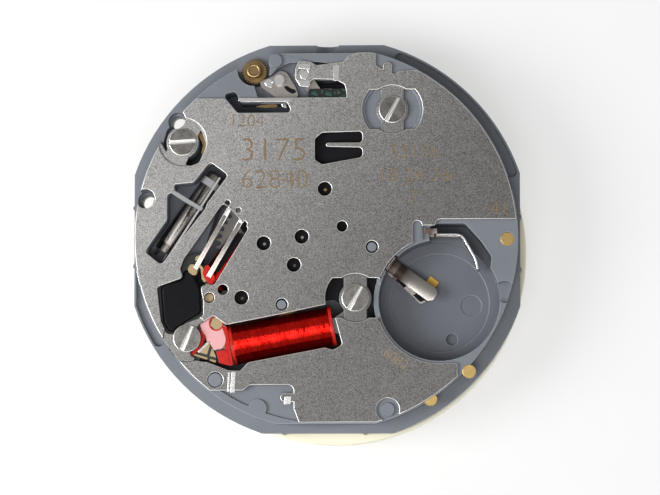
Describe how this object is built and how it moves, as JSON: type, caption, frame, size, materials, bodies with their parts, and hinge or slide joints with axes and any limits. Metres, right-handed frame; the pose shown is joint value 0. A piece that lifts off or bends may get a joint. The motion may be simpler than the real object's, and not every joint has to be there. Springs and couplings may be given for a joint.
{
  "type": "quartz watch movement",
  "caption": "Slim analogue quartz watch movement on its storage cap, battery side up, with stepping motors, gear trains, contacts, circuit and a dished steel back plate.",
  "frame": {"origin": "on the centre axis at the dial seat, the underside of the main plate", "axes": "+Z to the battery side, +Y to the winding stem, +X to the battery room"},
  "size_m": [0.023, 0.0233, 0.006],
  "materials": {
    "slate_resin": "moulded, satin",
    "plate_steel": "stamped, fine satin grain",
    "screw_steel": "turned",
    "black_resin": "moulded",
    "brass": "satin",
    "soft_iron": "stamped",
    "red_resin": "translucent lacquer red",
    "lacquered_copper": "enamelled wire under clear lacquer",
    "magnet": "sintered",
    "pale_resin": "moulded",
    "tan_film": "printed film",
    "pink_film": "translucent film",
    "green_film": "printed film",
    "chip_resin": "cured resin",
    "can_metal": "drawn, bright",
    "clear_band": "thin band",
    "contact_steel": "spring steel, satin",
    "white_metal": "polished",
    "yellow_film": "thin film",
    "cream_resin": "moulded"
  },
  "bodies": {
    "movement": {"main_plate": "slate_resin", "back_plate": "plate_steel", "plate_screws": "screw_steel", "train_bridge": "black_resin", "centre_bridge": "brass", "stator": "soft_iron", "second_stator": "soft_iron", "coil_core": "soft_iron", "coil_bobbin": "red_resin", "coil_drum": "lacquered_copper", "coil_outer_layer": "lacquered_copper", "second_core": "soft_iron", "second_bobbin": "red_resin", "second_winding": "lacquered_copper", "hour_guard": "plate_steel", "guard_screws": "screw_steel", "circuit_board": "tan_film", "circuit_spacer": "black_resin", "coil_lead_board": "pink_film", "potting": "chip_resin", "crystal_can": "can_metal", "crystal_base": "can_metal", "crystal_strap": "clear_band", "minus_foot": "contact_steel", "plus_foot": "contact_steel", "cell_insulator": "yellow_film", "brass_pins": "brass", "lever_pins": "white_metal", "circuit_strip": "green_film"},
    "rotor_body": {"rotor": "magnet"},
    "fifth_wheel_body": {"fifth_wheel": "pale_resin"},
    "third_wheel_body": {"third_wheel": "brass"},
    "centre_wheel_body": {"centre_wheel": "brass"},
    "minute_wheel_body": {"minute_wheel": "pale_resin"},
    "hour_wheel_body": {"hour_wheel": "pale_resin"},
    "idler_wheel_body": {"idler_wheel": "pale_resin"},
    "setting_wheel_body": {"setting_wheel": "pale_resin"},
    "second_rotor_body": {"second_rotor": "magnet"},
    "sub_dial_wheel_body": {"sub_dial_wheel": "pale_resin"},
    "corrector_wheel_body": {"corrector_wheel": "brass"},
    "setting_lever_body": {"setting_lever": "contact_steel"},
    "yoke_body": {"yoke": "contact_steel"},
    "clutch_wheel_body": {"clutch_wheel": "contact_steel"},
    "minus_tongue_body": {"minus_tongue": "contact_steel"},
    "plus_blade_body": {"plus_blade": "contact_steel"},
    "storage_cap_body": {"storage_cap": "cream_resin"}
  },
  "joints": [
    {"name": "rotor_spin", "type": "hinge", "parent": "movement", "child": "rotor_body", "pos_m": [-0.00183, -0.00159, 0.0017], "axis": [0, 0, 1], "continuous": true},
    {"name": "fifth_spin", "type": "hinge", "parent": "movement", "child": "fifth_wheel_body", "pos_m": [-0.00138, 0.00005, 0.0022], "axis": [0, 0, 1], "continuous": true},
    {"name": "third_spin", "type": "hinge", "parent": "movement", "child": "third_wheel_body", "pos_m": [-0.00004, 0.00283, 0.002], "axis": [0, 0, 1], "continuous": true},
    {"name": "centre_spin", "type": "hinge", "parent": "movement", "child": "centre_wheel_body", "pos_m": [0, 0, 0.0011], "axis": [0, 0, 1], "continuous": true},
    {"name": "minute_spin", "type": "hinge", "parent": "movement", "child": "minute_wheel_body", "pos_m": [0.0009, 0.0012, 0.0004], "axis": [0, 0, 1], "continuous": true},
    {"name": "hour_spin", "type": "hinge", "parent": "movement", "child": "hour_wheel_body", "pos_m": [0, 0, 0.00027], "axis": [0, 0, 1], "continuous": true},
    {"name": "idler_spin", "type": "hinge", "parent": "movement", "child": "idler_wheel_body", "pos_m": [0.00025, 0.00374, 0.0004], "axis": [0, 0, 1], "continuous": true},
    {"name": "setting_spin", "type": "hinge", "parent": "movement", "child": "setting_wheel_body", "pos_m": [-0.0001, 0.00672, 0.0004], "axis": [0, 0, 1], "continuous": true},
    {"name": "second_rotor_spin", "type": "hinge", "parent": "movement", "child": "second_rotor_body", "pos_m": [-0.00487, -0.00349, 0.0015], "axis": [0, 0, 1], "continuous": true},
    {"name": "sub_dial_spin", "type": "hinge", "parent": "movement", "child": "sub_dial_wheel_body", "pos_m": [-0.00359, -0.00033, 0.0009], "axis": [0, 0, 1], "continuous": true},
    {"name": "corrector_spin", "type": "hinge", "parent": "movement", "child": "corrector_wheel_body", "pos_m": [-0.0042, 0.00984, 0.0022], "axis": [0, 0, 1], "continuous": true},
    {"name": "lever_turn", "type": "hinge", "parent": "movement", "child": "setting_lever_body", "pos_m": [-0.00271, 0.00926, 0.00265], "axis": [0, 0, 1], "range_deg": [0, 20]},
    {"name": "yoke_turn", "type": "hinge", "parent": "movement", "child": "yoke_body", "pos_m": [-0.00132, 0.00961, 0.00288], "axis": [0, 0, 1], "range_deg": [-25, 0]},
    {"name": "clutch_slide", "type": "slide", "parent": "movement", "child": "clutch_wheel_body", "axis": [0, -1, 0], "range_m": [0, 0.00022]},
    {"name": "tongue_flex", "type": "hinge", "parent": "movement", "child": "minus_tongue_body", "pos_m": [0.00382, -0.0015, 0.0009], "axis": [0.6027, 0.798, 0], "range_deg": [0, 9], "stiffness_Nm_per_rad": 0.004},
    {"name": "blade_flex", "type": "hinge", "parent": "movement", "child": "plus_blade_body", "pos_m": [0.00644, 0.00014, 0.002], "axis": [0, 0, 1], "range_deg": [0, 9], "stiffness_Nm_per_rad": 0.003},
    {"name": "cap_pull", "type": "slide", "parent": "movement", "child": "storage_cap_body", "axis": [0, 0, -1], "range_m": [0, 0.012]}
  ],
  "couplings": [
    {"joint": "fifth_spin", "follows": "rotor_spin", "ratio": -0.16667},
    {"joint": "third_spin", "follows": "rotor_spin", "ratio": 0.055556},
    {"joint": "centre_spin", "follows": "rotor_spin", "ratio": -0.011111},
    {"joint": "minute_spin", "follows": "rotor_spin", "ratio": 0.0037037},
    {"joint": "hour_spin", "follows": "rotor_spin", "ratio": -0.00092593},
    {"joint": "idler_spin", "follows": "rotor_spin", "ratio": -0.0027778},
    {"joint": "setting_spin", "follows": "rotor_spin", "ratio": 0.0027778},
    {"joint": "sub_dial_spin", "follows": "second_rotor_spin", "ratio": -0.2},
    {"joint": "yoke_turn", "follows": "clutch_slide", "rad_per_m": -793.3},
    {"joint": "lever_turn", "follows": "clutch_slide", "rad_per_m": 634.7}
  ]
}
